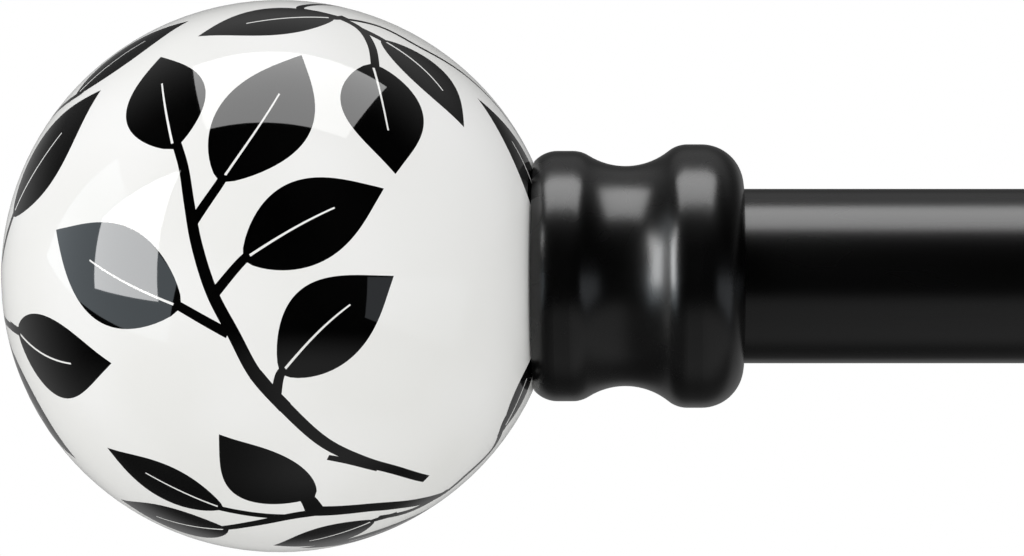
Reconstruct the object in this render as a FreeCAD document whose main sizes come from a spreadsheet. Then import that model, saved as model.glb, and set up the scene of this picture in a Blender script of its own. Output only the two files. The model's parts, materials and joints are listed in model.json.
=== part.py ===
"""Telescoping curtain rod with two adjustable wall brackets and two ball finials.

Row frame, in millimetres: +X runs along the rod, +Z is up, and the wall is the plane Y = 0 with the room
on its -Y side. The origin is the centre of the four wall screw holes. Every size below is a cell of the
sheet "Sizes".
"""

import FreeCAD
import Part
import math
import os
import re

import Sketcher

# name: (millimetres unless it counts something, what it measures)
SIZES = {
    # the two tubes
    "closed_length": (711.2, "rod from end to end when pushed together, finials left out (28 in)"),
    "tube_dia": (25.4, "outside of the outer tube (1 in)"),
    "tube_wall": (0.8, "steel of the outer tube"),
    "inner_dia": (22.2, "outside of the inner tube (7/8 in)"),
    "inner_wall": (0.8, "steel of the inner tube"),
    "inner_clear": (28.5, "room left behind the inner tube when the rod is closed"),
    "seam_width": (0.6, "rolled seam along each tube, on the wall side"),
    "seam_depth": (0.3, "depth of that seam"),
    # plugs, ring and nuts in the tube ends
    "plug_len": (24.0, "plug in the outer tube"),
    "rim_len": (1.2, "rim of that plug, which covers the tube's edge"),
    "adapter_head": (17.5, "thick end of the adapter on the inner tube"),
    "adapter_len": (38.0, "adapter from end to end"),
    "rib_height": (0.6, "grip ribs on both plugs"),
    "rib_pitch": (4.0, "one rib to the next"),
    "rib_count": (3, "ribs on a plug"),
    "nut_seat": (16.0, "rod end to the nut"),
    "nut_flats": (13.0, "M8 nut across its flats"),
    "nut_thick": (6.5, "M8 nut"),
    "nut_bevel": (0.65, "chamfer of the nut's corners"),
    "ring_flange": (1.5, "flange of the guide ring at the outer tube's mouth"),
    "ring_len": (12.0, "guide ring inside the mouth"),
    "mouth_gap": (0.5, "guide ring to adapter when the rod is closed"),
    "glide_len": (8.0, "glide that fills the outer tube's bore"),
    "glide_spigot": (12.0, "glide's spigot in the inner tube"),
    "glide_bore": (12.0, "hole through the glide"),
    "glide_chamfer": (1.0, "chamfer of the glide's leading edge"),
    # finial: ball, collar, stud and washer
    "ball_dia": (80.0, "ball"),
    "ball_wall": (4.0, "shell of the ball"),
    "neck_dia": (22.0, "hole in the ball for the collar's spigot"),
    "spigot_len": (8.0, "collar's spigot inside that hole"),
    "collar_len": (30.3, "collar from the ball to its face on the rod"),
    "collar_wall": (3.15, "metal round the socket at the waist"),
    "ball_bead_rise": (2.2, "bead beside the ball, above the waist"),
    "rod_bead_rise": (3.15, "bead beside the rod, above the waist"),
    "rim_round": (4.5, "radius of the bead's rounding beside the ball"),
    "rim_drop": (1.45, "how far that rounding comes down"),
    "rim_land": (0.6, "flat ring between that rounding and the ball"),
    "face_land": (0.2, "flat ring round the socket's mouth"),
    "cove_rad": (10.0, "radius of the waist's hollow"),
    "waist_back": (17.15, "collar's face to the middle of the waist"),
    "bead_round": (4.4, "rounding where the beads meet the hollow"),
    "socket_gap": (0.15, "socket to tube, all round"),
    "socket_depth": (18.0, "socket that goes over the rod's end"),
    "stud_dia": (8.0, "M8 stud"),
    "stud_grip": (12.0, "stud held in the collar"),
    "stud_spare": (1.0, "stud beyond the nut"),
    "stud_chamfer": (1.0, "chamfer of the stud's ends"),
    "washer_dia": (20.0, "rubber washer at the bottom of the socket"),
    "washer_thick": (1.5, "that washer"),
    # brackets
    "bracket_inset": (105.6, "rod's end to the middle of a bracket"),
    "wall_to_rod": (85.0, "wall to the rod's axis with the arms pushed in"),
    "plate_dia": (58.0, "round wall plate"),
    "plate_thick": (4.0, "wall plate"),
    "plate_edge": (1.6, "straight edge of the wall plate, before its rounding"),
    "plate_round": (3.0, "radius and width of that rounding"),
    "hole_dia": (5.0, "wall screw hole"),
    "hole_spacing": (40.0, "upper wall screw hole to the lower one"),
    "hole_sink": (1.6, "countersink of the wall screw holes"),
    "sleeve_dia": (16.0, "sleeve that holds the arm"),
    "sleeve_len": (48.0, "sleeve in front of the wall plate"),
    "sleeve_web": (8.0, "solid end of the sleeve, at the plate"),
    "flange_rise": (5.0, "foot of the sleeve, above the sleeve, and the radius of its hollow"),
    "flange_thick": (2.5, "straight edge of that foot"),
    "mouth_bead": (4.0, "bead round the sleeve's mouth"),
    "mouth_bead_rad": (2.6, "radius of that bead"),
    "base_screw_dia": (6.0, "countersunk screw that holds the sleeve on the plate"),
    "base_screw_head": (11.4, "head of that screw"),
    "base_screw_len": (10.5, "that screw from end to end"),
    "base_socket": (4.0, "hexagon socket in that screw"),
    "base_socket_deep": (2.2, "depth of that socket"),
    "base_screw_chamfer": (0.5, "chamfer of that screw's end"),
    "flush_gap": (0.3, "that screw's head below the wall face"),
    "arm_dia": (10.0, "arm that slides in the sleeve"),
    "arm_clear": (1.0, "room behind the arm when it is pushed in"),
    "arm_chamfer": (0.5, "chamfer of the arm's end in the sleeve"),
    "arm_spigot_dia": (6.0, "end of the arm inside the cradle"),
    "arm_spigot_len": (6.0, "that end"),
    "cradle_wall": (4.0, "cradle's thickness"),
    "cradle_width": (14.0, "cradle along the rod"),
    "cradle_lip": (8.0, "straight part of the cradle above the rod's axis"),
    "cradle_round": (1.0, "rounding of the cradle's edges"),
    "boss_dia": (13.0, "bosses at the cradle's back and front"),
    "boss_len": (4.0, "those bosses"),
    "boss_chamfer": (0.8, "chamfer of those bosses"),
    # the four thumb screws
    "thread_dia": (5.0, "M5 thumb screw"),
    "tip_dia": (4.0, "nylon tip of a thumb screw"),
    "tip_len": (1.5, "that tip in front of the screw"),
    "pin_dia": (2.0, "nylon tip's pin inside the screw"),
    "pin_len": (3.0, "that pin"),
    "lock_back": (9.0, "sleeve's mouth to the arm's thumb screw"),
    "lock_boss_dia": (10.0, "boss under the sleeve for the arm's thumb screw"),
    "lock_boss_rise": (4.0, "that boss, below the sleeve"),
    "knob_gap": (2.0, "boss to the knob of its thumb screw"),
    "knob_dia": (12.0, "knurled knob"),
    "knob_len": (8.0, "that knob"),
    "knob_chamfer": (1.0, "chamfer of the knob"),
    "knob_neck_dia": (8.0, "neck under the knob"),
    "knob_neck_len": (1.2, "that neck"),
    "knurl_count": (20, "grooves round the knob"),
    "knurl_rad": (0.7, "radius of a groove"),
    # clearances
    "fit_gap": (0.05, "between pieces that are fixed to each other"),
    "slide_gap": (0.1, "round what slides or turns in a hole"),
    "touch_gap": (0.3, "between curved faces of pieces that move apart"),
    # cuts
    "overrun": (1.0, "how far a cut starts outside the piece it cuts"),
}

SIDES = {"left": -1, "right": 1}
SAME = 0.001  # two lengths no further apart than this are the same

doc = FreeCAD.newDocument("curtain_rod")
sheet = doc.addObject("Spreadsheet::Sheet", "Sizes")
for row, (alias, (value, meaning)) in enumerate(SIZES.items(), 1):
    sheet.set(f"A{row}", meaning)
    sheet.set(f"B{row}", str(value))
    sheet.setAlias(f"B{row}", alias)
doc.recompute()


# ---- places that several pieces share, as expressions in the sheet's names ----

TUBE_BORE = "(tube_dia / 2 - tube_wall)"
INNER_BORE = "(inner_dia / 2 - inner_wall)"
OUTER_TUBE_LEN = "(closed_length - rim_len - ring_flange - mouth_gap - adapter_head)"
INNER_TUBE_LEN = f"({OUTER_TUBE_LEN} - plug_len - inner_clear)"
ROD_END = "(closed_length / 2)"
MOUTH = f"(rim_len + {OUTER_TUBE_LEN} - {ROD_END})"
INNER_END = f"({ROD_END} - adapter_head)"
STUD_HOLE = "(stud_dia / 2 + slide_gap)"

# along a finial, from the centre of its ball towards the rod
SOCKET_RAD = "(tube_dia / 2 + socket_gap)"
WAIST_RAD = f"({SOCKET_RAD} + collar_wall)"
BALL_BEAD = f"({WAIST_RAD} + ball_bead_rise)"
ROD_BEAD = f"({WAIST_RAD} + rod_bead_rise)"
SEAT_BALL = "(ball_dia / 2 + fit_gap)"
SPIGOT_RAD = "(neck_dia / 2 - fit_gap)"
RIM_RAD = f"({BALL_BEAD} - rim_drop)"
CUP_RAD = f"({RIM_RAD} - rim_land)"
CUP = f"sqrt({SEAT_BALL}^2 - {CUP_RAD}^2)"
SHOULDER = f"sqrt({SEAT_BALL}^2 - {SPIGOT_RAD}^2)"
FACE = f"({CUP} + collar_len)"
SOCKET_END = f"({FACE} - socket_depth)"
BALL_TO_ROD = f"({SOCKET_END} + washer_thick + fit_gap)"

# across a bracket, from the wall towards the room
ARM_START = "(plate_thick + sleeve_web + arm_clear)"
SLEEVE_MOUTH = "(plate_thick + sleeve_len)"
LOCK_AT = f"({SLEEVE_MOUTH} - lock_back)"
CRADLE_BORE = "(tube_dia / 2 + touch_gap)"
CRADLE_OUT = f"({CRADLE_BORE} + cradle_wall)"
ARM_END = f"(wall_to_rod - {CRADLE_OUT} - boss_len)"
THREAD_HOLE = "(thread_dia / 2 + slide_gap)"


# ---- tools of this file ----


def size(text):
    """The expression with each sheet name written as FreeCAD reads it."""
    return re.sub(r"[a-z][a-z_]*", lambda w: "Sizes." + w[0] if w[0] in SIZES else w[0], str(text))


def new_body(label):
    body = doc.addObject("PartDesign::Body", label)
    body.Label = label
    return body


def sketch_on(body, role, offset=None):
    """A sketch on one of the body's own origin planes, moved along that plane's normal by offset."""
    sketch = body.newObject("Sketcher::SketchObject", body.Label + "_sketch")
    plane = next(f for f in body.Origin.OriginFeatures if f.Role == role)
    sketch.AttachmentSupport = (plane, [""])
    sketch.MapMode = "FlatFace"
    if offset:
        sketch.setExpression("AttachmentOffset.Base.z", size(offset))
    return sketch


def bind(sketch, kind, *where, to):
    """Adds a constraint of that kind whose value is bound to an expression."""
    number = sketch.addConstraint(Sketcher.Constraint(kind, *where, sketch.evalExpression(size(to))))
    sketch.setExpression(f"Constraints[{number}]", size(to))


def outline(sketch, corners):
    """A closed outline. A corner is (across, up), or (across, up, radius) where the edge to the next corner
    is an arc of under half a turn. Its centre lies to the left of the way there, or to the right if the
    radius has a minus."""
    values = [[sketch.evalExpression(size(text)) for text in corner] for corner in corners]
    points = [FreeCAD.Vector(value[0], value[1], 0) for value in values]
    starts, ends = [], []
    for start, value, end in zip(points, values, points[1:] + points[:1]):
        if len(value) == 2:
            number = sketch.addGeometry(Part.LineSegment(start, end), False)
            starts.append((number, 1))
            ends.append((number, 2))
            continue
        radius = abs(value[2])
        side = math.copysign(1, value[2])
        chord = end - start
        left = FreeCAD.Vector(-chord.y, chord.x, 0).normalize()
        rise = math.sqrt(max(0, radius**2 - (chord.Length / 2) ** 2))
        centre = (start + end) / 2 + left * side * rise
        turns = [math.atan2(p.y - centre.y, p.x - centre.x) for p in (start, end)][:: int(side)]
        circle = Part.Circle(centre, FreeCAD.Vector(0, 0, 1), radius)
        number = sketch.addGeometry(Part.ArcOfCircle(circle, *turns), False)
        starts.append((number, 1 if side > 0 else 2))
        ends.append((number, 2 if side > 0 else 1))
    for before, start in zip(ends[-1:] + ends[:-1], starts):
        sketch.addConstraint(Sketcher.Constraint("Coincident", *before, *start))
    for (number, point), corner in zip(starts, corners):
        bind(sketch, "DistanceX", -1, 1, number, point, to=corner[0])
        bind(sketch, "DistanceY", -1, 1, number, point, to=corner[1])
        if len(corner) == 3:
            bind(sketch, "Radius", number, to=corner[2].lstrip("-"))


def circle(sketch, radius, across="0", up="0"):
    number = sketch.addGeometry(Part.Circle(FreeCAD.Vector(), FreeCAD.Vector(0, 0, 1), 1), False)
    bind(sketch, "DistanceX", -1, 1, number, 3, to=across)
    bind(sketch, "DistanceY", -1, 1, number, 3, to=up)
    bind(sketch, "Radius", number, to=radius)


def hexagon(sketch, flats):
    corner = f"({flats}) / sqrt(3)"
    outline(sketch, [(f"{corner} * cos({60 * k})", f"{corner} * sin({60 * k})") for k in range(6)])


def turned(body, *outlines, cut=False):
    """Turns closed outlines, drawn as (along X, distance from X), about the body's X axis."""
    sketch = sketch_on(body, "XY_Plane")
    for corners in outlines:
        outline(sketch, corners)
    kind = "Groove" if cut else "Revolution"
    feature = body.newObject("PartDesign::" + kind, body.Label + "_" + kind.lower())
    feature.Profile = sketch
    feature.ReferenceAxis = (sketch, ["H_Axis"])
    feature.Angle = 360
    return checked(body, cut)


def bored(body, start, end, radius):
    """Bores a round hole about the body's X axis, from one place along it to another."""
    turned(body, [(start, "0"), (start, radius), (end, radius), (end, "0")], cut=True)


def pushed(body, sketch, length, cut=False, back=False, both=False):
    """Pads the sketch, or cuts it out, by length along its plane's normal, or against it if back is set."""
    kind = "Pocket" if cut else "Pad"
    feature = body.newObject("PartDesign::" + kind, body.Label + "_" + kind.lower())
    feature.Profile = sketch
    feature.setExpression("Length", size(length))
    feature.Midplane = both
    feature.Reversed = back != cut  # a pocket goes against the normal unless it is reversed
    return checked(body, cut)


def checked(body, cut):
    """Recomputes, and stops if the body's newest feature failed, or cut nothing."""
    feature = body.Tip
    before = feature.BaseFeature.Shape.Volume if feature.BaseFeature else 0
    doc.recompute()
    change = feature.Shape.Volume - before
    if not feature.Shape.isValid() or (change >= 0) == cut:
        raise RuntimeError(f"{feature.Label} changed the volume by {change}")
    return feature


def softened(body, length, wanted, kind="Fillet"):
    """Fillets or chamfers every edge of the body that wanted(edge) picks."""
    base = body.Tip
    names = [f"Edge{n}" for n, edge in enumerate(base.Shape.Edges, 1) if wanted(edge)]
    feature = body.newObject("PartDesign::" + kind, body.Label + "_" + kind.lower())
    feature.Base = (base, names)
    feature.setExpression("Radius" if kind == "Fillet" else "Size", size(length))
    doc.recompute()
    if not names or not feature.Shape.isValid() or not feature.Shape.Volume:
        raise RuntimeError(f"{feature.Label} failed on {names}")


def repeated(body, feature, count):
    """Repeats the feature round the body's X axis."""
    pattern = body.newObject("PartDesign::PolarPattern", body.Label + "_pattern")
    pattern.Originals = [feature]
    pattern.Axis = (feature.Profile[0], ["N_Axis"])
    pattern.Angle = 360
    pattern.setExpression("Occurrences", size(count))
    body.Tip = pattern
    doc.recompute()


def value_of(text):
    return sheet.evalExpression(size(text))


def ring_edge(edge, radius, along=None):
    """Whether the edge is a full circle of that radius about the X axis, at that place along it."""
    round_ = isinstance(edge.Curve, Part.Circle) and abs(edge.Curve.Radius - value_of(radius)) < SAME
    on_axis = round_ and math.hypot(edge.Curve.Center.y, edge.Curve.Center.z) < SAME
    return on_axis and (along is None or abs(edge.Curve.Center.x - value_of(along)) < SAME)


FACING = {
    "rod": FreeCAD.Rotation(),
    "rod_end": FreeCAD.Rotation(FreeCAD.Vector(0, 0, 1), 180),
    "room": FreeCAD.Rotation(FreeCAD.Vector(0, 0, 1), -90),
    "down": FreeCAD.Rotation(FreeCAD.Vector(0, 1, 0), 90),
}


def place(body, facing, x="0", y="0", z="0"):
    """Turns the body's X axis to face along the rod, back along it, into the room or down, and moves it."""
    body.Placement = FreeCAD.Placement(FreeCAD.Vector(), FACING[facing])
    for axis, text in zip("xyz", (x, y, z)):
        body.setExpression(f"Placement.Base.{axis}", size(text))


def bracket_x(side):
    return f"{SIDES[side]} * ({ROD_END} - bracket_inset)"


# ---- the two tubes and what is in their ends ----


def make_tube(label, outside, wall, length, start):
    """A steel tube with its rolled seam along the side that faces the wall."""
    body = new_body(label)
    ends = sketch_on(body, "YZ_Plane")
    circle(ends, f"{outside} / 2")
    circle(ends, f"{outside} / 2 - {wall}")
    pushed(body, ends, length)
    seam = sketch_on(body, "YZ_Plane")
    bottom, top = f"{outside} / 2 - seam_depth", f"{outside} / 2 + seam_depth"
    near, far = "-seam_width / 2", "seam_width / 2"
    outline(seam, [(bottom, near), (top, near), (top, far), (bottom, far)])
    pushed(body, seam, length, cut=True)
    place(body, "rod", x=start, y="-wall_to_rod")


def make_plug(label, head_len, length, bore, facing, at):
    """A nylon plug: a head as wide as the rod, ribs that grip the tube's bore, and a seat for the nut."""
    grip, core = f"({bore} - fit_gap)", f"({bore} - rib_height)"
    corners = [("0", STUD_HOLE), ("0", "tube_dia / 2"), (head_len, "tube_dia / 2"), (head_len, core)]
    for rib in range(int(value_of("rib_count"))):
        for step, level in enumerate((core, grip, grip, core), 1):
            corners.append((f"{head_len} + rib_pitch * ({rib} + {step} / 4)", level))
    corners += [(length, core), (length, STUD_HOLE)]
    body = new_body(label)
    turned(body, corners)
    seat = sketch_on(body, "YZ_Plane", length)
    hexagon(seat, "nut_flats + 2 * fit_gap")
    pushed(body, seat, f"{length} - nut_seat", cut=True, back=True)
    place(body, facing, x=at, y="-wall_to_rod")


def make_nut(label, facing, at):
    """A plain hexagon nut with both ends chamfered."""
    body = new_body(label)
    blank = sketch_on(body, "YZ_Plane")
    hexagon(blank, "nut_flats")
    circle(blank, STUD_HOLE)
    pushed(body, blank, "nut_thick")
    flat, outside = "nut_flats / 2", "nut_flats / 2 + 2 * nut_bevel"
    turned(
        body,
        [("0", flat), ("nut_bevel", outside), ("0", outside)],
        [("nut_thick", flat), ("nut_thick", outside), ("nut_thick - nut_bevel", outside)],
        cut=True,
    )
    place(body, facing, x=at, y="-wall_to_rod")


def make_guide_ring():
    """The flanged nylon ring in the outer tube's mouth that the inner tube runs through."""
    bore, spigot = "(inner_dia / 2 + slide_gap)", f"({TUBE_BORE} - fit_gap)"
    body = new_body("guide_ring")
    turned(body, [
        ("-ring_len", bore),
        ("-ring_len", spigot),
        ("0", spigot),
        ("0", "tube_dia / 2"),
        ("ring_flange / 2", "tube_dia / 2"),
        ("ring_flange", "tube_dia / 2 - ring_flange / 2"),
        ("ring_flange", bore),
    ])  # fmt: skip
    place(body, "rod", x=MOUTH, y="-wall_to_rod")


def make_glide():
    """The nylon glide on the inner tube's hidden end, which keeps the two tubes in line."""
    bore, runner = "glide_bore / 2", f"({TUBE_BORE} - slide_gap)"
    body = new_body("inner_tube_glide")
    turned(body, [
        ("-glide_len", bore),
        ("-glide_len", f"{runner} - glide_chamfer"),
        ("glide_chamfer - glide_len", runner),
        ("0", runner),
        ("0", f"{INNER_BORE} - fit_gap"),
        ("glide_spigot", f"{INNER_BORE} - fit_gap"),
        ("glide_spigot", bore),
    ])  # fmt: skip
    place(body, "rod", x=f"{INNER_END} - {INNER_TUBE_LEN}", y="-wall_to_rod")


# ---- finials, drawn from the centre of the ball towards the rod ----


def make_ball(label):
    """A hollow ball with a round hole for the collar's spigot."""
    inside = "(ball_dia / 2 - ball_wall)"
    body = new_body(label)
    turned(body, [
        ("-ball_dia / 2", "0", "-ball_dia / 2"),
        ("sqrt((ball_dia / 2)^2 - (neck_dia / 2)^2)", "neck_dia / 2"),
        (f"sqrt({inside}^2 - (neck_dia / 2)^2)", "neck_dia / 2", inside),
        (f"-{inside}", "0"),
    ])  # fmt: skip
    return body


def make_collar(label):
    """The turned neck: a cup on the ball, a bead, a hollow waist, a larger bead and the rod's socket."""
    waist = f"({FACE} - waist_back)"
    ball_edge = f"({waist} - sqrt(cove_rad^2 - (cove_rad - ball_bead_rise)^2))"
    rod_edge = f"({waist} + sqrt(cove_rad^2 - (cove_rad - rod_bead_rise)^2))"
    face_round = "(collar_wall + rod_bead_rise - face_land)"
    body = new_body(label)
    turned(body, [
        (f"{SHOULDER} - spigot_len", "0"),
        (f"{SHOULDER} - spigot_len", SPIGOT_RAD),
        (SHOULDER, SPIGOT_RAD, SEAT_BALL),
        (CUP, CUP_RAD),
        (CUP, RIM_RAD, "-rim_round"),
        (f"{CUP} + sqrt(rim_round^2 - (rim_round - rim_drop)^2)", BALL_BEAD),
        (ball_edge, BALL_BEAD, "cove_rad"),
        (rod_edge, ROD_BEAD),
        (f"{FACE} - {face_round}", ROD_BEAD, f"-{face_round}"),
        (FACE, f"{ROD_BEAD} - {face_round}"),
        (FACE, "0"),
    ])  # fmt: skip
    brinks = [(BALL_BEAD, ball_edge), (ROD_BEAD, rod_edge)]
    softened(body, "bead_round", lambda e: any(ring_edge(e, *brink) for brink in brinks))
    bored(body, SOCKET_END, f"{FACE} + overrun", SOCKET_RAD)
    bored(body, f"{SOCKET_END} - stud_grip - fit_gap", f"{SOCKET_END} + overrun", "stud_dia / 2 + fit_gap")
    return body


def make_stud(label):
    """The M8 stud fixed in the collar, long enough to pass through the nut in the rod's end."""
    start, end = f"{SOCKET_END} - stud_grip", f"{BALL_TO_ROD} + nut_seat + nut_thick + stud_spare"
    body = new_body(label)
    turned(body, [
        (start, "0"),
        (start, "stud_dia / 2 - stud_chamfer"),
        (f"{start} + stud_chamfer", "stud_dia / 2"),
        (f"{end} - stud_chamfer", "stud_dia / 2"),
        (end, "stud_dia / 2 - stud_chamfer"),
        (end, "0"),
    ])  # fmt: skip
    return body


def make_washer(label):
    """The rubber washer between the socket's bottom and the rod's end."""
    hole, end = "(stud_dia / 2 + touch_gap)", f"{SOCKET_END} + washer_thick"
    body = new_body(label)
    turned(body, [(SOCKET_END, hole), (SOCKET_END, "washer_dia / 2"), (end, "washer_dia / 2"), (end, hole)])
    return body


def make_finial(side):
    makers = {"ball": make_ball, "collar": make_collar, "stud": make_stud, "washer": make_washer}
    for piece, make in makers.items():
        facing = "rod" if side == "left" else "rod_end"
        at = f"{SIDES[side]} * ({ROD_END} + {BALL_TO_ROD})"
        place(make(f"{side}_finial_{piece}"), facing, x=at, y="-wall_to_rod")


# ---- brackets, drawn from the wall towards the room ----


def make_wall_plate(label):
    """A round plate with two wall screw holes and, behind, a countersink for the sleeve's screw."""
    hole, sink = "(base_screw_dia / 2 + slide_gap)", "(base_screw_head / 2)"
    body = new_body(label)
    turned(body, [
        ("0", sink),
        ("0", "plate_dia / 2"),
        ("plate_edge", "plate_dia / 2", "-plate_round"),
        ("plate_thick", "plate_dia / 2 - plate_round"),
        ("plate_thick", hole),
        (f"{sink} - {hole}", hole),
    ])  # fmt: skip
    holes = sketch_on(body, "YZ_Plane")
    circle(holes, "hole_dia / 2", up="hole_spacing / 2")
    circle(holes, "hole_dia / 2", up="-hole_spacing / 2")
    pushed(body, holes, "plate_thick", cut=True)
    front, radius = value_of("plate_thick"), value_of("hole_dia / 2")

    def mouth(edge):
        round_ = isinstance(edge.Curve, Part.Circle) and abs(edge.Curve.Radius - radius) < SAME
        return round_ and abs(edge.Curve.Center.x - front) < SAME

    softened(body, "hole_sink", mouth, kind="Chamfer")
    return body


def make_sleeve(label):
    """The turned sleeve on the plate: a wide foot, a beaded mouth, the arm's bore and a screw boss."""
    wide, slim = "(sleeve_dia / 2 + flange_rise)", "sleeve_dia / 2"
    foot = "(plate_thick + flange_thick)"
    body = new_body(label)
    turned(body, [
        ("plate_thick", "0"),
        ("plate_thick", wide),
        (foot, wide, "flange_rise"),
        (f"{foot} + flange_rise", slim),
        (f"{SLEEVE_MOUTH} - mouth_bead", slim, "-mouth_bead_rad"),
        (SLEEVE_MOUTH, slim),
        (SLEEVE_MOUTH, "0"),
    ])  # fmt: skip
    boss = sketch_on(body, "XY_Plane")
    circle(boss, "lock_boss_dia / 2", across=LOCK_AT)
    pushed(body, boss, "sleeve_dia / 2 + lock_boss_rise", back=True)
    web, bore = "(plate_thick + sleeve_web)", "(arm_dia / 2 + slide_gap)"
    thread = "(base_screw_dia / 2 + fit_gap)"
    turned(body, [
        ("plate_thick - overrun", "0"),
        ("plate_thick - overrun", thread),
        (web, thread),
        (web, bore),
        (f"{SLEEVE_MOUTH} + overrun", bore),
        (f"{SLEEVE_MOUTH} + overrun", "0"),
    ], cut=True)  # fmt: skip
    hole = sketch_on(body, "XY_Plane")
    circle(hole, THREAD_HOLE, across=LOCK_AT)
    pushed(body, hole, "sleeve_dia / 2 + lock_boss_rise", cut=True, back=True)
    return body


def make_base_screw(label):
    """The countersunk screw that comes from the wall side and holds the sleeve on the plate."""
    head, thread = "(base_screw_head / 2 - flush_gap - fit_gap)", "(base_screw_dia / 2)"
    body = new_body(label)
    turned(body, [
        ("flush_gap", "0"),
        ("flush_gap", head),
        (f"flush_gap + {head} - {thread}", thread),
        ("base_screw_len - base_screw_chamfer", thread),
        ("base_screw_len", f"{thread} - base_screw_chamfer"),
        ("base_screw_len", "0"),
    ])  # fmt: skip
    socket = sketch_on(body, "YZ_Plane", "flush_gap")
    hexagon(socket, "base_socket")
    pushed(body, socket, "base_socket_deep", cut=True)
    return body


def make_arm(label):
    """The round bar that slides in the sleeve, with a thinner end fixed in the cradle."""
    tail, spigot = f"{ARM_END} + arm_spigot_len", "arm_spigot_dia / 2"
    body = new_body(label)
    turned(body, [
        (ARM_START, "0"),
        (ARM_START, "arm_dia / 2 - arm_chamfer"),
        (f"{ARM_START} + arm_chamfer", "arm_dia / 2"),
        (f"{ARM_END} - fit_gap", "arm_dia / 2"),
        (f"{ARM_END} - fit_gap", spigot),
        (tail, spigot),
        (tail, "0"),
    ])  # fmt: skip
    return body


def make_cradle(label):
    """The U that the rod lies in, open at the top, with a boss for the arm behind and one for the screw in
    front. It is drawn about the rod's axis."""
    body = new_body(label)
    section = sketch_on(body, "XZ_Plane")
    middle = f"({CRADLE_BORE} + cradle_wall / 2)"
    lip_round, lip_top = "-cradle_wall / 2", "cradle_lip + cradle_wall / 2"
    outline(section, [
        (CRADLE_BORE, "cradle_lip", lip_round),
        (middle, lip_top, lip_round),
        (CRADLE_OUT, "cradle_lip"),
        (CRADLE_OUT, "0", f"-{CRADLE_OUT}"),
        ("0", f"-{CRADLE_OUT}", f"-{CRADLE_OUT}"),
        (f"-{CRADLE_OUT}", "0"),
        (f"-{CRADLE_OUT}", "cradle_lip", lip_round),
        (f"-{middle}", lip_top, lip_round),
        (f"-{CRADLE_BORE}", "cradle_lip"),
        (f"-{CRADLE_BORE}", "0", CRADLE_BORE),
        ("0", f"-{CRADLE_BORE}", CRADLE_BORE),
        (CRADLE_BORE, "0"),
    ])  # fmt: skip
    pushed(body, section, "cradle_width", both=True)
    half = value_of("cradle_width / 2")
    softened(body, "cradle_round", lambda e: all(abs(abs(v.Y) - half) < SAME for v in e.Vertexes))
    outside = f"({CRADLE_OUT} + boss_len)"
    for way in ("", "-"):
        turned(body, [
            (f"{way}{middle}", "0"),
            (f"{way}{middle}", "boss_dia / 2"),
            (f"{way}({outside} - boss_chamfer)", "boss_dia / 2"),
            (f"{way}{outside}", "boss_dia / 2 - boss_chamfer"),
            (f"{way}{outside}", "0"),
        ])  # fmt: skip
    ahead, behind = f"({outside} + overrun)", f"(-{outside} + arm_spigot_len + fit_gap)"
    spigot_hole = "arm_spigot_dia / 2 + fit_gap"
    bored(body, "0", ahead, THREAD_HOLE)
    bored(body, f"-{ahead}", behind, spigot_hole)
    return body


# ---- thumb screws, drawn from the face of the nylon tip out to the knob ----


def make_tip(label):
    """The nylon tip that presses on the tube or the arm without marking it."""
    body = new_body(label)
    turned(body, [
        ("0", "0"),
        ("0", "tip_dia / 2"),
        ("tip_len", "tip_dia / 2"),
        ("tip_len", "pin_dia / 2"),
        ("tip_len + pin_len", "pin_dia / 2"),
        ("tip_len + pin_len", "0"),
    ])  # fmt: skip
    return body


def make_thumb_screw(label, reach):
    """An M5 screw with a knurled knob. reach is the way from the nylon tip's face to the boss's end."""
    neck = f"({reach} + knob_gap)"
    knob = f"({neck} + knob_neck_len)"
    start, end = "(tip_len + slide_gap)", f"({knob} + knob_len)"
    body = new_body(label)
    turned(body, [
        (start, "0"),
        (start, "thread_dia / 2"),
        (neck, "thread_dia / 2"),
        (neck, "knob_neck_dia / 2"),
        (knob, "knob_neck_dia / 2"),
        (knob, "knob_dia / 2 - knob_chamfer"),
        (f"{knob} + knob_chamfer", "knob_dia / 2"),
        (f"{end} - knob_chamfer", "knob_dia / 2"),
        (end, "knob_dia / 2 - knob_chamfer"),
        (end, "0"),
    ])  # fmt: skip
    bored(body, "0", "tip_len + pin_len + slide_gap", "pin_dia / 2 + slide_gap")
    groove = sketch_on(body, "YZ_Plane", knob)
    circle(groove, "knurl_rad", across="knob_dia / 2")
    repeated(body, pushed(body, groove, "knob_len", cut=True), "knurl_count")
    return body


def make_bracket(side):
    """One bracket with its two thumb screws: one holds the rod in the cradle, the other holds the arm."""
    x = bracket_x(side)
    place(make_wall_plate(f"{side}_wall_plate"), "room", x=x)
    place(make_sleeve(f"{side}_arm_sleeve"), "room", x=x)
    place(make_base_screw(f"{side}_sleeve_screw"), "room", x=x)
    place(make_arm(f"{side}_arm_bar"), "room", x=x)
    place(make_cradle(f"{side}_cradle"), "room", x=x, y="-wall_to_rod")
    rod_face = f"-(wall_to_rod + {CRADLE_BORE})"
    place(make_tip(f"{side}_rod_lock_tip"), "room", x=x, y=rod_face)
    place(make_thumb_screw(f"{side}_rod_lock_screw", "(cradle_wall + boss_len)"), "room", x=x, y=rod_face)
    arm_face = "-(arm_dia / 2 + touch_gap)"
    reach = "(sleeve_dia / 2 + lock_boss_rise - arm_dia / 2 - touch_gap)"
    place(make_tip(f"{side}_arm_lock_tip"), "down", x=x, y=f"-{LOCK_AT}", z=arm_face)
    place(make_thumb_screw(f"{side}_arm_lock_screw", reach), "down", x=x, y=f"-{LOCK_AT}", z=arm_face)


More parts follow.
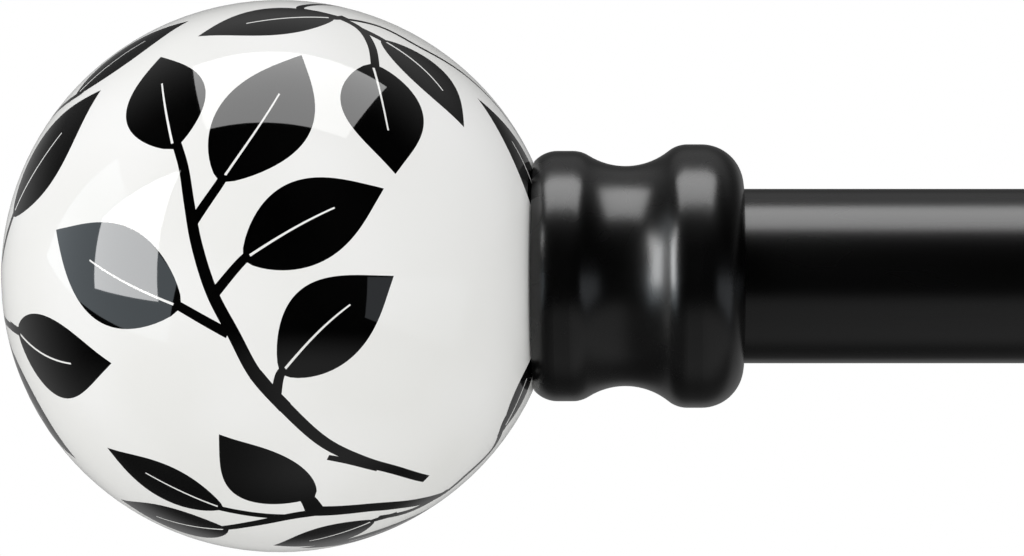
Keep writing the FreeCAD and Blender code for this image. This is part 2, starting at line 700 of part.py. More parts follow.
make_tube("outer_tube", "tube_dia", "tube_wall", OUTER_TUBE_LEN, f"rim_len - {ROD_END}")
make_tube("inner_tube", "inner_dia", "inner_wall", INNER_TUBE_LEN, f"{INNER_END} - {INNER_TUBE_LEN}")
make_plug("outer_tube_plug", "rim_len", "plug_len", TUBE_BORE, "rod", f"-{ROD_END}")
make_plug("inner_tube_adapter", "adapter_head", "adapter_len", INNER_BORE, "rod_end", ROD_END)
make_nut("outer_plug_nut", "rod", f"nut_seat + fit_gap - {ROD_END}")
make_nut("adapter_nut", "rod_end", f"{ROD_END} - nut_seat - fit_gap")
make_guide_ring()
make_glide()
for side_name in SIDES:
    make_finial(side_name)
    make_bracket(side_name)


def export():
    """Checks the whole document, then writes each body to parts/ under its label."""
    doc.recompute()
    failed = [o.Label for o in doc.Objects if {"Invalid", "Error"} & set(o.State)]
    bodies = [o for o in doc.Objects if o.TypeId == "PartDesign::Body"]
    failed += [b.Label for b in bodies if not b.Shape.isValid() or len(b.Shape.Solids) != 1]
    if failed:
        raise RuntimeError(f"these failed: {failed}")
    os.makedirs("parts", exist_ok=True)
    for body in bodies:
        body.Shape.exportStep(f"parts/{body.Label}.step")
    print(f"{len(bodies)} pieces written")


export()
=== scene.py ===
# %% [markdown]
# # A curtain rod with leaf-printed ball finials
# The rod is a telescoping pair of black steel tubes in two wall brackets. Each end carries a white glazed
# ball with black leafy sprigs printed under the glaze, on a turned black collar. The engineering model
# already gives every piece its place and size, so this lesson adds what the eye sees: the printed glaze,
# the finishes and the studio.

# %% Load the engineering model
import json
import math

import bmesh
import bpy
from mathutils import Matrix, Quaternion, Vector, geometry, kdtree


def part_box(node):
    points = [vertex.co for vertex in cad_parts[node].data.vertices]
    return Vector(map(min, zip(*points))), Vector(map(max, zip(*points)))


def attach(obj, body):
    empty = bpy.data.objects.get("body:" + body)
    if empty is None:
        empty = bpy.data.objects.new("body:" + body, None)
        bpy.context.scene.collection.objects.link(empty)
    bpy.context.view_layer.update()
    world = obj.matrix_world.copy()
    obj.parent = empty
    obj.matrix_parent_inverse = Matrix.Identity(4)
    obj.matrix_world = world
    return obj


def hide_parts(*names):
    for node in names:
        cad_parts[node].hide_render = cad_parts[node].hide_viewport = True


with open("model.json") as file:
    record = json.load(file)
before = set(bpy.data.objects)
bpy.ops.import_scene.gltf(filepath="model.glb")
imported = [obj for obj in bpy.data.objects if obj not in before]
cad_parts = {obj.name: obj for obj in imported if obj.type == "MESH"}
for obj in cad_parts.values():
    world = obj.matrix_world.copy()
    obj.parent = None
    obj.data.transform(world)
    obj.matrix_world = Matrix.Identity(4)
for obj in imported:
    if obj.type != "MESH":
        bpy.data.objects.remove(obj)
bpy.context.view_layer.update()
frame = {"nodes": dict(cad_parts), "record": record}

# %% [markdown]
# Lengths on the real object are easier to think of in millimetres, so one small number turns them into
# metres.

# %% Millimetres
MM = 0.001

# %% [markdown]
# ## Finishes
# Paint and plating colours are usually given as sRGB hex values, but the renderer mixes light in linear
# values. One function does that change for every colour. A second one adds a node with its settings and its
# links.

# %% Colour and node helpers
def linear(code):
    """The linear colour of an sRGB hex code."""
    parts = [int(code[i : i + 2], 16) / 255 for i in (0, 2, 4)]
    return [p / 12.92 if p <= 0.04045 else ((p + 0.055) / 1.055) ** 2.4 for p in parts] + [1]


def add(tree, kind, inputs, **settings):
    """Adds a node. An input is a plain value, a socket, or a node whose first output feeds it."""
    node = tree.nodes.new("ShaderNode" + kind)
    for name, value in settings.items():
        setattr(node, name, value)
    for name, value in inputs.items():
        if isinstance(value, bpy.types.Node):
            value = value.outputs[0]
        if isinstance(value, bpy.types.NodeSocket):
            tree.links.new(value, node.inputs[name])
        else:
            node.inputs[name].default_value = value
    return node


# %% [markdown]
# No real coat is one flat colour. Each finish below could be painted by hand, but a noise in the piece's
# own millimetres does it better, because the same coat then suits a screw and a metre of tube. The first
# noise lets the colour and the roughness wander, and the last one lifts the surface. Stretching a noise
# draws it out along an axis.

# %% One coat from its real sizes
LOW_NOISE, HIGH_NOISE = 0.3, 0.7


def finish(name, inputs, shades, noise_mm, roughness=None, relief_mm=None, detail=2.0, stretch=(1, 1, 1)):
    """A material that wanders between two shades and two roughnesses, with a relief of the given height."""
    material = bpy.data.materials.new(name)
    material.use_nodes = True
    tree = material.node_tree
    tree.nodes.clear()
    place = add(tree, "TexCoord", {}).outputs["Object"]
    noises = []
    for size in noise_mm:
        scale = [1 / (size * MM * s) for s in stretch]
        spot = add(tree, "Mapping", {"Vector": place, "Scale": scale})
        noises.append(add(tree, "TexNoise", {"Vector": spot, "Scale": 1.0, "Detail": detail}))
    ramp = add(tree, "ValToRGB", {"Fac": noises[0]})
    for stop, position, shade in zip(ramp.color_ramp.elements, (LOW_NOISE, HIGH_NOISE), shades):
        stop.position = position
        stop.color = linear(shade)
    linked = {"Base Color": ramp}
    if roughness:
        low, high = roughness
        spread = {"From Min": LOW_NOISE, "From Max": HIGH_NOISE, "To Min": low, "To Max": high}
        linked["Roughness"] = add(tree, "MapRange", {"Value": noises[0], **spread})
    if relief_mm:
        relief = {"Height": noises[-1], "Distance": relief_mm * MM, "Strength": 1.0}
        linked["Normal"] = add(tree, "Bump", relief)
    shader = add(tree, "BsdfPrincipled", {**inputs, **linked})
    add(tree, "OutputMaterial", {"Surface": shader})
    return material


# %% [markdown]
# The ball is glazed porcelain. A clear glaze melts into a glassy skin that is almost mirror smooth, so
# lamps show in it with crisp edges, yet it settles in very slight waves about a fingertip wide. The white
# body under it is never one flat white. The print is black ceramic ink under the same glaze. The white
# already sends back most of the light it gets, so its shine is set to half of the ink's, or the mirrored
# lamps would burn out on it.

# %% Glazed porcelain and under-glaze ink
GLAZE = {"Roughness": 0.03, "IOR": 1.5}
GLAZE_WAVE = {"noise_mm": [14], "relief_mm": 0.004, "detail": 0.0}
WHITE_SHINE, INK_SHINE = 0.25, 0.5

white_glaze = {**GLAZE, "Specular IOR Level": WHITE_SHINE}
porcelain = finish("glazed_porcelain_white", white_glaze, ("EBEBE9", "F0F0EF"), **GLAZE_WAVE)
ink_glaze = {**GLAZE, "Specular IOR Level": INK_SHINE}
ink = finish("underglaze_ink_black", ink_glaze, ("020202", "050505"), **GLAZE_WAVE)
print("made", porcelain.name, "and", ink.name)

# %% [markdown]
# Black pieces look alike at first, but each is made another way. The tubes are drawn steel with a sprayed
# and baked satin enamel: dark, with a soft broad highlight, and a faint pull along the length from the
# drawing. The collars and brackets are die-cast zinc, turned or fettled and then enamelled, with a fine
# orange peel. An even black would look like plastic, so both coats get wide clouds in their gloss, nine
# millimetres across, and a fine peel on top.

# %% Satin enamel on steel and on zinc
ENAMEL = {"inputs": {"IOR": 1.55}, "shades": ("010101", "030303"), "roughness": (0.26, 0.29)}
CLOUD_MM = 9
DRAWN_OUT = (6, 1, 1)

enamelled_steel = finish(
    "satin_enamel_on_steel", noise_mm=[CLOUD_MM, 0.5], relief_mm=0.003, stretch=DRAWN_OUT, **ENAMEL
)
enamelled_zinc = finish("satin_enamel_on_zinc", noise_mm=[CLOUD_MM, 0.7], relief_mm=0.004, **ENAMEL)
print("made", enamelled_steel.name, "and", enamelled_zinc.name)

# %% [markdown]
# The small parts show mostly from behind and when the rod is taken apart. Zinc plating is a thin bright
# metal with a milky unevenness. A black-oxide screw is still bare metal, only darkened. Nylon is slightly
# waxy and lets a little light in, and moulded rubber is dull with a fine sparkle from the mould. The
# crystals of a plating and the grit of a mould are too fine to show, so they are drawn as clouds of half a
# millimetre to a few millimetres. Five finishes that differ only in their numbers could be five pieces of
# code, but one table shows the differences better.

# %% Plating, oxide, nylon and rubber
METAL = {"Metallic": 1.0}
NYLON = {"IOR": 1.53}
WAXY_NYLON = {**NYLON, "Subsurface Weight": 0.15, "Subsurface Scale": MM}
RUBBER = {"IOR": 1.52}
small_finishes = {}
for name, inputs, shades, size_mm, roughness, relief_mm in (
    ("zinc_plated_steel", METAL, ("A9ABAE", "C6C8C9"), 2.5, (0.22, 0.38), 0.002),
    ("black_oxide_steel", METAL, ("1B1C1E", "2A2B2D"), 1.5, (0.3, 0.45), 0.002),
    ("black_nylon", NYLON, ("0C0C0D", "131314"), 0.6, (0.42, 0.55), 0.01),
    ("natural_nylon", WAXY_NYLON, ("DDD8C6", "E9E5D8"), 1.0, (0.35, 0.45), 0.01),
    ("moulded_rubber", RUBBER, ("0E0E0E", "171717"), 0.4, (0.75, 0.9), 0.01),
):
    small_finishes[name] = finish(name, inputs, shades, [size_mm], roughness, relief_mm, detail=3.0)
print(f"made {len(small_finishes)} small-part finishes")

# %% [markdown]
# Each engineering node names a material slot in the record. A short table hands every slot its finish, so a
# piece that keeps its engineering shape still gets a real surface.

# %% Give each engineering node its finish
FINISH_OF_SLOT = {
    "glazed_porcelain": porcelain,
    "satin_black_steel": enamelled_steel,
    "satin_black_zinc": enamelled_zinc,
    "zinc_plated_steel": small_finishes["zinc_plated_steel"],
    "black_screw_steel": small_finishes["black_oxide_steel"],
    "black_nylon": small_finishes["black_nylon"],
    "natural_nylon": small_finishes["natural_nylon"],
    "black_rubber": small_finishes["moulded_rubber"],
}
for part in frame["record"]["subparts"]:
    node = frame["nodes"][part["node"]]
    node.data.materials.clear()
    node.data.materials.append(FINISH_OF_SLOT[part["material_slot"]])

# %% [markdown]
# ## The printed ball
# The print has to lie in the glaze, not on it. A flat drawing wrapped round a ball would pinch at the poles
# and blur close up, and raised leaves would throw false highlights. So the leaves are cut into the ball's
# own mesh: every outline is a chain of edges on the sphere, and the faces inside it take the ink. The
# sphere is flattened for the cutting with a stereographic map, which keeps well-shaped triangles well
# shaped, and is then wrapped back.

# %% The ball's size and place
low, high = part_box("left_finial_ball")
RADIUS = (high.z - low.z) / 2
LEFT_CENTRE = Vector((low.x + RADIUS, (low.y + high.y) / 2, (low.z + high.z) / 2))
right_low, right_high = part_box("right_finial_ball")
RIGHT_CENTRE = Vector((right_high.x - RADIUS, LEFT_CENTRE.y, LEFT_CENTRE.z))
NECK_ANGLE = math.acos((high.x - LEFT_CENTRE.x) / RADIUS)
WALL = 4 * MM
neck_degrees = math.degrees(NECK_ANGLE)
print(f"ball {2 * RADIUS / MM:.1f} mm across, neck hole {neck_degrees:.1f} degrees round the rod's axis")

# %% [markdown]
# A place on the ball is given as on a globe. Longitude 0 faces the room and longitude 90 faces the rod.
# Latitude 90 is the top. The flat sheet's middle is the end of the ball away from the rod, and the neck is
# its rim.

# %% Globe, sheet and back
def on_globe(place):
    """The unit vector of a (longitude, latitude) in degrees."""
    lon, lat = (math.radians(a) for a in place)
    return Vector((math.sin(lon) * math.cos(lat), -math.cos(lon) * math.cos(lat), math.sin(lat)))


def to_sheet(spot):
    """A unit vector's place on the flat sheet."""
    return Vector((spot.y, spot.z)) / (1 - spot.x)


def from_sheet(flat):
    """The unit vector of a place on the flat sheet."""
    square = flat.x**2 + flat.y**2
    return Vector((square - 1, 2 * flat.x, 2 * flat.y)) / (square + 1)


# %% [markdown]
# A printed leaf here is broad and pointed. It swells quickly from the stalk and runs out in a drawn-in tip,
# and most leaves bow a little to one side. A fine white rib is left open from near the stalk to past the
# middle. Stems are tapered strips through a few points, rounded by a curve through them.

# %% One leaf, its rib and a stem
LEAF_STEPS = 28
EARLY_SWELL = 0.87  # below 1, the leaf is widest before its middle
FULL_SIDES = 0.82  # below 1, the sides are fuller than a sine's
DRAWN_IN_TIP = 0.45
RIB_MM = 0.34
RIB_START, RIB_LENGTH = 0.05, 0.6
STEM_STEPS = 8


def beside(spot, side, distance):
    """The point a distance to the side of a spot, along the ball."""
    return (spot + side * math.tan(distance / RADIUS)).normalized()


def leaf(base, tip, width_mm, bend_mm):
    """The leaf's outline and the outline of its rib, as unit vectors. bend_mm bows it to its left."""
    side = base.cross(tip).normalized()

    def edge(t, half_width):
        middle = beside(base.slerp(tip, t), side, bend_mm * MM * math.sin(math.pi * t))
        return beside(middle, side, half_width)

    def leaf_half(t):
        swell = math.sin(math.pi * t**EARLY_SWELL) ** FULL_SIDES
        return width_mm * MM / 2 * swell * (1 - DRAWN_IN_TIP * t**6)

    def rib_half(t):
        return RIB_MM * MM / 2 * (1.05 - 0.6 * t)

    ts = [k / LEAF_STEPS for k in range(LEAF_STEPS + 1)]
    upper = [edge(t, leaf_half(t)) for t in ts]
    lower = [edge(t, -leaf_half(t)) for t in ts[1:-1]]
    ribs = [RIB_START + RIB_LENGTH * t for t in ts]
    rib_upper = [edge(t, rib_half(t)) for t in ribs]
    rib_lower = [edge(t, -rib_half(t)) for t in ribs]
    return upper + lower[::-1], rib_upper + rib_lower[::-1]


def stem(places, start_mm, end_mm):
    """A strip along a smooth line through the places, whose thickness goes evenly from start to end."""
    spots = [2 * places[0] - places[1], *places, 2 * places[-1] - places[-2]]
    line = []
    for before, start, end, after in zip(spots, spots[1:], spots[2:], spots[3:]):
        for k in range(STEM_STEPS):
            t = k / STEM_STEPS
            square = (2 * before - 5 * start + 4 * end - after) * t**2
            cube = (3 * start - before - 3 * end + after) * t**3
            bend = square + cube
            line.append((start + ((end - before) * t + bend) / 2).normalized())
    line.append(places[-1])
    left, right = [], []
    for k, spot in enumerate(line):
        ahead = line[min(k + 1, len(line) - 1)] - line[max(k - 1, 0)]
        side = spot.cross(ahead).normalized()
        half = (start_mm + (end_mm - start_mm) * k / (len(line) - 1)) * MM / 2
        left.append(beside(spot, side, half))
        right.append(beside(spot, side, -half))
    return left + right[::-1]


# %% [markdown]
# The sprigs are a list of places, as (longitude, latitude) in degrees. A stem is its points and its
# thickness at both ends in millimetres. A leaf is the place where its stalk leaves the stem, its base, its
# tip, and its width and bow in millimetres. The sprig that faces the room comes again on the wall side,
# turned half way round the rod's axis, and smaller ones run over the top and the bottom. They could be
# grown by a rule, but a printed pattern has its own rhythm, and a list of places keeps it.

# %% List the sprigs
FRONT_SPRIG = {
    "stems": [
        ([(52, -45), (39, -42), (28, -39), (17, -34), (8, -26), (2, -19)], 1.4, 1.9),
        ([(8, -26), (2, -19), (-2, -11), (-6, -3), (-9, 6), (-11, 14), (-13, 21), (-16, 27)], 1.9, 1.3),
        ([(33, -41), (27, -39.6), (23, -38.7), (18.5, -37.8)], 1.3, 0.9),
    ],
    "leaves": [
        ((-16, 25), (-16, 25), (-32, 49), 11.8, 0),
        ((-10, 10), (-5, 18), (13, 49), 13.0, -1.1),
        ((-6, -4), (0, 3), (28, 17), 11.4, 0.6),
        ((6, -24), (7, -19), (29, 0), 11.6, 1.4),
        ((-3, -11), (-12, -6), (-43, 9), 13.6, 0.7),
    ],
}
LEFT_SPRIG = {
    "stems": [
        ([(-100, 2), (-85, -5), (-77, -8), (-67, -10), (-60, -11)], 1.2, 1.1),
        ([(-85, -5), (-72, 4)], 1.0, 1.0),
    ],
    "leaves": [
        ((-66, -10), (-61, -11), (-29, -17), 11.8, -1.5),
        ((-72, 4), (-66, 12), (-47, 40), 13.5, -1.2),
        ((-86, -8), (-80, -12), (-63, -40), 11, 0),
    ],
}
TOP_SPRIG = {
    "stems": [
        ([(110, 68), (40, 76), (18, 71), (28, 68), (36, 65), (40, 60), (38, 53), (34, 45)], 1.1, 1.3),
        ([(36, 65), (54, 62), (63, 54), (76, 46), (84, 36), (88, 24)], 0.9, 0.8),
    ],
    "leaves": [
        ((34, 47), (34, 47), (31, 20), 12.2, -0.3),
        ((40, 60), (45, 56), (54, 31), 8.8, 1.3),
        ((40, 66), (33, 65), (-24, 56), 10.2, 0.4),
        ((90, 16), (75, 8), (69, 39), 8, -2.0),
        ((-100, 20), (-61, 39), (-41, 64), 9.5, 0),
    ],
}
BOTTOM_SPRIG = {
    "stems": [
        (
            [(74, -26), (73, -31), (79, -38), (75, -45), (70, -52)]
            + [(49, -54), (26, -54), (8, -56), (-15, -52.5)],
            1.4,
            1.2,
        ),
        ([(72, -51), (56, -53), (38, -53.6), (16, -54)], 1.4, 2.6),
        ([(22, -54), (10, -56), (-4, -59), (-20, -61.5)], 1.9, 1.3),
        ([(19, -55), (16, -51), (13, -47.5)], 2.8, 1.8),
        ([(72, -50), (62, -56), (46, -58)], 1.5, 1.2),
    ],
    "leaves": [
        ((-12, -53), (-12, -53), (-40, -36), 8.6, -0.4),
        ((-16, -62), (-16, -62), (-60, -52), 10.4, 0.4),
        ((54, -57), (46, -59), (1, -72), 9, 0),
        ((84, -54), (84, -56), (20, -75), 6, 0),
        ((74, -34), (76, -33), (74, -15), 6, 0),
    ],
    "ribless_leaves": [((17, -49), (17, -49), (-7, -32), 10.6, 1.7)],
}
FAR_SPRIG = {
    "stems": [([(-166, 74), (-140, 58), (-128, 42), (-122, 27), (-119, 14)], 1.5, 1.2)],
    "leaves": [
        ((-119, 14), (-119, 14), (-112, -14), 12, 0.6),
        ((-126, 37), (-118, 40), (-86, 42), 11, -0.6),
        ((-121, 24), (-128, 18), (-152, 10), 11, 0.6),
        ((-134, 51), (-143, 47), (-166, 30), 12, 0.6),
    ],
}
HALF_TURN = Matrix.Rotation(math.pi, 3, "X")
NO_TURN = Matrix.Identity(3)
PRINT = [
    (FRONT_SPRIG, NO_TURN),
    (LEFT_SPRIG, NO_TURN),
    (TOP_SPRIG, NO_TURN),
    (BOTTOM_SPRIG, NO_TURN),
    (FRONT_SPRIG, HALF_TURN),
    (FAR_SPRIG, NO_TURN),
]
print(f"{len(PRINT)} sprigs on a ball")


# %% Draw all outlines
STALK_MM = (1.4, 1.1)
STALK_INTO_LEAF = 0.1


def draw_print():
    """The black outlines and the white rib outlines of the whole print, as unit vectors."""
    black, white = [], []
    for sprig, turn in PRINT:
        for places, start_mm, end_mm in sprig["stems"]:
            black.append(stem([turn @ on_globe(p) for p in places], start_mm, end_mm))
        ribless = sprig.get("ribless_leaves", [])
        for entry in sprig["leaves"] + ribless:
            fork, base, tip = (turn @ on_globe(p) for p in entry[:3])
            outline, rib = leaf(base, tip, *entry[3:])
            black.append(outline)
            if entry not in ribless:
                white.append(rib)
            if fork != base:
                black.append(stem([fork, base, base.slerp(tip, STALK_INTO_LEAF)], *STALK_MM))
    return black, white


black_outlines, white_outlines = draw_print()
print(f"{len(black_outlines)} black outlines and {len(white_outlines)} white ribs")

# %% [markdown]
# Between the outlines the ball needs evenly spread points, or its silhouette would show corners. Random
# points leave gaps and rows leave seams, but a spiral that turns by the golden angle spreads them well.
# Points that crowd an outline are left out, because they would make slivers.

# %% Spread points over the rest of the ball
SPACING = 1.9 * MM
CROWDED = 0.5 * SPACING / RADIUS
NECK_MARGIN = 0.6 * SPACING / RADIUS


def spread_points(taken):
    """Evenly spread unit vectors that keep clear of the outlines' points and of the neck."""
    count = int(4 * math.pi * RADIUS**2 / SPACING**2)
    tree = kdtree.KDTree(len(taken))
    for number, spot in enumerate(taken):
        tree.insert(spot, number)
    tree.balance()
    golden = math.pi * (3 - math.sqrt(5))
    points = []
    for k in range(count):
        x = 1 - 2 * (k + 0.5) / count
        ring = math.sqrt(1 - x * x)
        spot = Vector((x, ring * math.cos(golden * k), ring * math.sin(golden * k)))
        clear_of_neck = math.acos(x) > NECK_ANGLE + NECK_MARGIN
        if clear_of_neck and tree.find(spot)[2] > CROWDED:
            points.append(spot)
    return points


# %% [markdown]
# The cutter takes points and outlines on the flat sheet and returns triangles, with the outlines that each
# lies in. A triangle is inked if it lies in a black outline and in no rib. The shell's inside is added as
# rings that run from the neck round the cavity, so that the ball is one closed wall as the real one is.

# %% Cut the outlines into the sheet
NECK_POINTS = 120
KEEP_INSIDE = 1
WELD_DISTANCE = 1e-7


def counterclockwise(flat):
    """The same outline, running the way the cutter needs."""
    area = sum(a.x * b.y - b.x * a.y for a, b in zip(flat, flat[1:] + flat[:1]))
    return flat if area > 0 else flat[::-1]


def cut_sheet():
    """Points of the whole ball as unit vectors, its triangles, and whether each is inked."""
    neck_x, neck_ring = math.cos(NECK_ANGLE), math.sin(NECK_ANGLE)
    turns = [2 * math.pi * k / NECK_POINTS for k in range(NECK_POINTS)]
    neck = [Vector((neck_x, neck_ring * math.cos(a), neck_ring * math.sin(a))) for a in turns]
    outlines = [neck, *black_outlines, *white_outlines]
    taken = [spot for outline in outlines for spot in outline]
    flat, faces = [], []
    for outline in outlines:
        loop = counterclockwise([to_sheet(spot) for spot in outline])
        faces.append(list(range(len(flat), len(flat) + len(loop))))
        flat += loop
    flat += [to_sheet(spot) for spot in spread_points(taken)]
    points, _, triangles, _, _, owners = geometry.delaunay_2d_cdt(flat, [], faces, KEEP_INSIDE, WELD_DISTANCE)
    first_rib = 1 + len(black_outlines)
    inked = [0 < max(own, default=0) < first_rib for own in owners]
    return [from_sheet(p) for p in points], triangles, inked


ball_points, ball_triangles, ball_inked = cut_sheet()
print(f"{len(ball_triangles)} triangles on a ball, {sum(ball_inked)} of them inked")


# %% [markdown]
# The print comes as one list of triangles for both balls. Each ball is welded from it, then its rim is
# drawn inwards ring by ring. Light must see a perfect sphere, so each corner keeps the sphere's own
# direction as its normal.

# %% Build the printed ball
CAVITY_RINGS = 24


def sphere_normal(spot):
    """Away from the ball's middle on its outside, and towards it in the cavity."""
    return spot.normalized() if spot.length > RADIUS - WALL / 2 else -spot.normalized()


def build_ball(name, centre, turn):
    """One closed ball with its neck hole, turned by a matrix and moved to its centre."""
    shell = bmesh.new()
    outer = [shell.verts.new(p * RADIUS) for p in ball_points]
    for corners, is_ink in zip(ball_triangles, ball_inked):
        face = shell.faces.new([outer[c] for c in corners])
        face.material_index = int(is_ink)
    bmesh.ops.recalc_face_normals(shell, faces=shell.faces)
    rim = [e for e in shell.edges if e.is_boundary]
    inner = RADIUS - WALL
    neck_radius = RADIUS * math.sin(NECK_ANGLE)
    start = math.asin(neck_radius / inner)
    for k in range(CAVITY_RINGS):
        angle = start + (math.pi - start) * k / CAVITY_RINGS
        grown = bmesh.ops.extrude_edge_only(shell, edges=rim)["geom"]
        rim = [g for g in grown if isinstance(g, bmesh.types.BMEdge)]
        for vert in (g for g in grown if isinstance(g, bmesh.types.BMVert)):
            round_axis = math.atan2(vert.co.z, vert.co.y)
            ring = inner * math.sin(angle)
            y, z = ring * math.cos(round_axis), ring * math.sin(round_axis)
            vert.co = (inner * math.cos(angle), y, z)
    bmesh.ops.holes_fill(shell, edges=rim, sides=0)
    bmesh.ops.recalc_face_normals(shell, faces=shell.faces)
    mesh = bpy.data.meshes.new(name)
    shell.to_mesh(mesh)
    shell.free()
    mesh.shade_smooth()
    mesh.normals_split_custom_set_from_vertices([sphere_normal(v.co) for v in mesh.vertices])
    mesh.transform(Matrix.Translation(centre) @ turn)
    mesh.materials.append(porcelain)
    mesh.materials.append(ink)
    ball = bpy.data.objects.new(name, mesh)
    bpy.context.scene.collection.objects.link(ball)
    return ball


AS_DRAWN = Matrix.Identity(4)
END_FOR_END = Matrix.Rotation(math.pi, 4, "Y")
for side, centre, turn in (("left", LEFT_CENTRE, AS_DRAWN), ("right", RIGHT_CENTRE, END_FOR_END)):
    ball = build_ball(f"{side}_printed_ball", centre, turn)
    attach(ball, f"{side}_finial")
    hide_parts(f"{side}_finial_ball")
    print(f"built {ball.name} with {len(ball.data.polygons)} faces")

# %% [markdown]
# ## The studio
# The camera looks level at the left finial from a short arm's length, a little to the rod's side of it. The
# sensor is shifted sideways instead of the camera being turned, so that the tube's edges stay parallel.

# %% Camera
CAMERA_PLACE_MM = (55.5, -420, -0.28)
LENS_MM = 101.5
SENSOR_MM = 36
SIDEWAYS_SHIFT = -0.149

camera_data = bpy.data.cameras.new("camera")
camera_data.sensor_width = SENSOR_MM
camera_data.lens = LENS_MM
camera_data.shift_x = SIDEWAYS_SHIFT
camera_data.clip_start = 10 * MM
camera = bpy.data.objects.new("camera", camera_data)
camera.location = LEFT_CENTRE + Vector(CAMERA_PLACE_MM) * MM
camera.rotation_euler = (math.radians(90), 0, 0)
bpy.context.scene.collection.objects.link(camera)
bpy.context.scene.camera = camera
print("camera at", [round(c, 3) for c in camera.location])

# %% [markdown]
# Glossy black shows the room more than it shows itself. A softbox overhead gives the band along the tube
# and the pale window on the top leaves. A bright panel stands to the left of the camera and faces the wall,
# a dimmer one beside it faces along the rod, and a faint one faces back from the right. Lamps that also lit
# the white would burn it out and cast shadows, so these are only there to be mirrored. The even light on
# the white comes from the room.

# %% Softboxes
def softbox(name, middle, width, height, facing, radiance, tint="FFFFFF", roll=0):
    """A rectangular panel, placed from the ball's centre. It shows only where something shiny mirrors it."""
    data = bpy.data.lights.new(name, "AREA")
    data.shape = "RECTANGLE"
    data.size = width
    data.size_y = height
    data.energy = radiance * width * height * math.pi
    data.color = linear(tint)[:3]
    lamp = bpy.data.objects.new(name, data)
    lamp.location = LEFT_CENTRE + Vector(middle)
    upright = Vector(facing).to_track_quat("-Z", "Y")
    lamp.rotation_euler = (upright @ Quaternion((0, 0, 1), math.radians(roll))).to_euler()
    lamp.visible_camera = False
    lamp.visible_diffuse = False
    bpy.context.scene.collection.objects.link(lamp)
    print(name, "is", width, "by", height, "m")


softbox("overhead_softbox", (0.03, -0.14, 1.0), 0.98, 0.72, (0, 0, -1), 4.85)
softbox("bright_panel", (-1.24, -0.6, 0.26), 1.38, 0.78, (0, 1, 0), 10.0)
softbox("left_panel", (-1.0, -0.64, 0.03), 1.5, 0.75, (1, 0, 0), 2.2, "DCE8F0", roll=-30)
softbox("right_panel", (1.0, -0.6, -0.22), 1.1, 0.42, (-1, 0, 0), 0.8, "E8EEF5")

# %% [markdown]
# The room itself has three looks. To the white glaze it is an even soft light, a little stronger from the
# left and from below. Mirrored in something shiny it is dark in front, where the camera stands, and pale
# behind and below. Seen straight on, it is plain white. A backdrop and screens could do the same, but they
# would stand in the way of other views. Each fade goes from one value to another as a direction's part goes
# from start to end.

# %% World
SOFT_LEAN = (-0.29, -0.08, -0.2)
SOFT_LEVEL = 1.17

world = bpy.data.worlds.new("studio")
bpy.context.scene.world = world
world.use_nodes = True
# Rays find the room by bouncing alone, so that each kind of ray meets its own look of it.
world.cycles.sampling_method = "NONE"
tree = world.node_tree
tree.nodes.clear()
direction = add(tree, "TexCoord", {})
across, depth, height = add(tree, "SeparateXYZ", {"Vector": direction}).outputs
fades = {}
for name, value, start, end, low, high in (
    ("behind", depth, -0.2, 0.6, 0.006, 0.3),
    ("wall_foot", height, -0.7, -0.45, 0.15, 1.0),
    ("wall_top", height, 0.1, 0.4, 1.0, 0.3),
    ("ceiling", height, 0.5, 0.75, 0.0, 0.8),
    ("downward", height, -0.35, -0.6, 0.0, 0.3),
    ("near_floor", depth, -0.1, 0.4, 1.0, 0.12),
    ("right_floor", across, -0.3, 0.2, 0.4, 1.2),
):
    span = {"Value": value, "From Min": start, "From Max": end, "To Min": low, "To Max": high}
    fades[name] = add(tree, "MapRange", span, interpolation_type="SMOOTHSTEP")
print(f"the room has {len(fades)} fades")

# %% [markdown]
# The wall and the ceiling together are the pale bands behind the object, and the floor is a third one in
# front of it. Only rays that have met something shiny see them. Rays that have met something dull see the
# soft light.

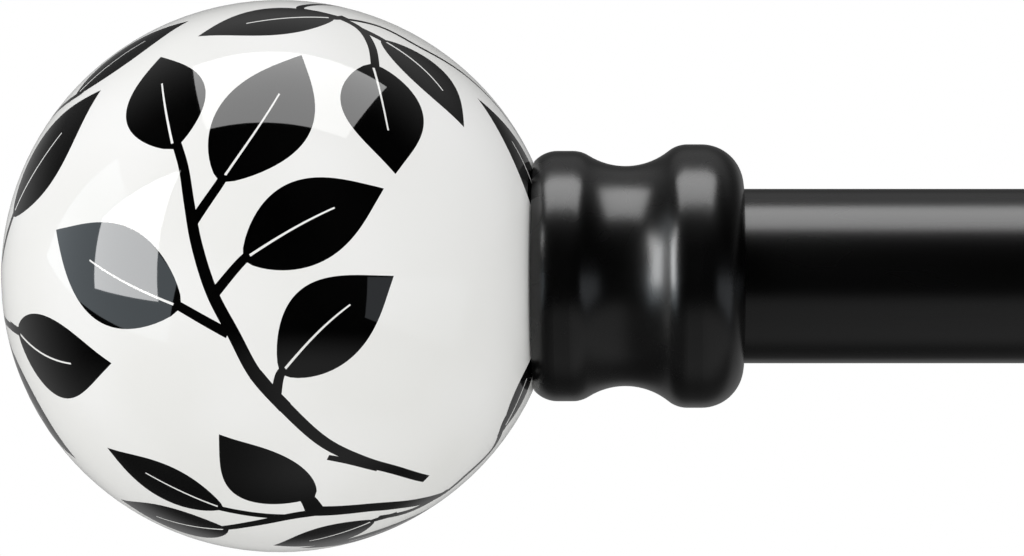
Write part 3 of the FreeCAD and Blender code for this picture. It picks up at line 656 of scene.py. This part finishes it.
# %% Mix the room's three looks
wall = {0: fades["wall_foot"], 1: fades["wall_top"], 2: fades["ceiling"]}
bands = add(tree, "Math", wall, operation="MULTIPLY_ADD")
sheet = add(tree, "Math", {0: fades["downward"], 1: fades["near_floor"]}, operation="MULTIPLY")
ground = add(tree, "Math", {0: sheet, 1: fades["right_floor"]}, operation="MULTIPLY")
mirrored = add(tree, "Math", {0: fades["behind"], 1: bands, 2: ground}, operation="MULTIPLY_ADD")
lean = add(tree, "VectorMath", {0: direction, 1: SOFT_LEAN}, operation="DOT_PRODUCT")
soft = add(tree, "Math", {0: lean.outputs["Value"], 1: SOFT_LEVEL}, operation="ADD")
ray = add(tree, "LightPath", {}).outputs
indirect = add(tree, "Mix", {"Factor": ray["Is Diffuse Ray"], "A": mirrored, "B": soft})
strength = add(tree, "Mix", {"Factor": ray["Is Camera Ray"], "A": indirect, "B": 1.0})
background = add(tree, "Background", {"Color": linear("FFFFFF"), "Strength": strength})
add(tree, "OutputWorld", {"Surface": background})
bpy.context.scene.view_settings.view_transform = "Standard"
print(f"the room's light takes {len(tree.nodes)} nodes")

# %% [markdown]
# The floor is a plain pale sheet well below the rod. It sends soft light back up under the tube. Dull paper
# has no gloss of its own. Towards its rim the sheet turns as white as the room, so that no edge shows
# behind the rod.

# %% Floor
FLOOR_DEPTH = 300 * MM
FLOOR_REACH = 3.0
FADE_START, FADE_END = 1.0, 2.7

corners = [(-1, -1), (1, -1), (1, 1), (-1, 1)]
floor_mesh = bpy.data.meshes.new("floor")
spots = [(x * FLOOR_REACH, y * FLOOR_REACH, -FLOOR_DEPTH) for x, y in corners]
floor_mesh.from_pydata(spots, [], [(0, 1, 2, 3)])
paper = finish("pale_paper", {"Roughness": 0.9, "Specular IOR Level": 0.0}, ("EBEBE9", "F0F0EE"), [60])
tree = paper.node_tree
place = add(tree, "TexCoord", {}).outputs["Object"]
reach = add(tree, "VectorMath", {0: place}, operation="LENGTH").outputs["Value"]
fade = {"Value": reach, "From Min": FADE_START, "From Max": FADE_END}
rim = add(tree, "MapRange", fade, interpolation_type="SMOOTHSTEP")
glow = add(tree, "Emission", {"Color": linear("FFFFFF"), "Strength": 1.0})
blend = add(tree, "MixShader", {0: rim, 1: tree.nodes["Principled BSDF"], 2: glow})
tree.links.new(blend.outputs[0], tree.nodes["Material Output"].inputs["Surface"])
floor_mesh.materials.append(paper)
floor = bpy.data.objects.new("floor", floor_mesh)
floor.visible_glossy = False  # only the room is mirrored, not the sheet
bpy.context.scene.collection.objects.link(floor)
print(f"a floor {FLOOR_REACH * 2:.0f} m wide, {FLOOR_DEPTH / MM:.0f} mm below the rod")
